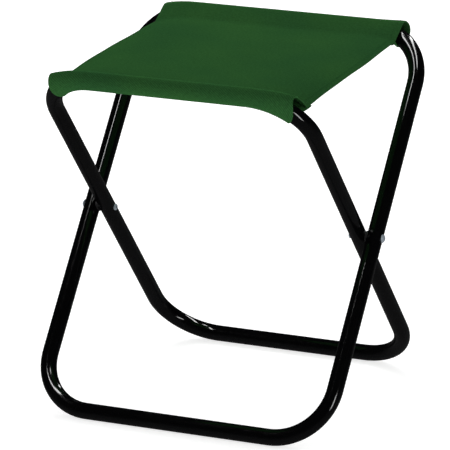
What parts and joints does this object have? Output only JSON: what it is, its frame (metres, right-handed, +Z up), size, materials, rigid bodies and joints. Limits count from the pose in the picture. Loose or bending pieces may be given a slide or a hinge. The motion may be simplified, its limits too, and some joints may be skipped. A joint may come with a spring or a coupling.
{
  "type": "folding stool",
  "caption": "Folding camp stool: two crossed loops of round steel tube pivot on rivets and carry a woven cloth sling seat.",
  "frame": {"origin": "on the ground, straight below the pivot axis and halfway between the legs", "axes": "+Z up; +X to the right along the bars, seen by a person who faces the rear; +Y to the rear, where the outer frame's top bar is"},
  "size_m": [0.386, 0.3364, 0.4195],
  "materials": {
    "black_enamel": "gloss",
    "bare_steel": "satin",
    "zinc_rivet": "bright zinc plate",
    "black_plastic": "matt",
    "green_cloth": "woven, dull"
  },
  "bodies": {
    "outer_frame": {"outer_frame_tube_right": "black_enamel", "outer_frame_tube_left": "black_enamel", "outer_frame_spigot": "bare_steel", "pivot_rivet_right": "zinc_rivet", "pivot_rivet_left": "zinc_rivet", "pivot_spacer_right": "black_plastic", "pivot_spacer_left": "black_plastic", "seat_rear_sleeve": "green_cloth"},
    "inner_frame": {"inner_frame_tube_right": "black_enamel", "inner_frame_tube_left": "black_enamel", "inner_frame_spigot": "bare_steel", "seat_front_sleeve": "green_cloth"},
    "seat_rear": {"seat_rear_panel": "green_cloth"},
    "seat_front": {"seat_front_panel": "green_cloth"}
  },
  "joints": [
    {"name": "fold", "type": "hinge", "parent": "outer_frame", "child": "inner_frame", "pos_m": [0, 0, 0.20664], "axis": [-1, 0, 0], "range_deg": [0, 68]},
    {"name": "seat_rear_fold", "type": "hinge", "parent": "outer_frame", "child": "seat_rear", "pos_m": [0, 0.15907, 0.4085], "axis": [1, 0, 0], "range_deg": [0, 48.4], "deforming": ["seat_rear_panel"]},
    {"name": "seat_front_fold", "type": "hinge", "parent": "inner_frame", "child": "seat_front", "pos_m": [0, -0.15536, 0.40378], "axis": [-1, 0, 0], "range_deg": [0, 50], "deforming": ["seat_front_panel"]}
  ],
  "couplings": [
    {"joint": "seat_rear_fold", "follows": "fold", "ratio": 0.7106},
    {"joint": "seat_front_fold", "follows": "fold", "ratio": 0.7347}
  ]
}
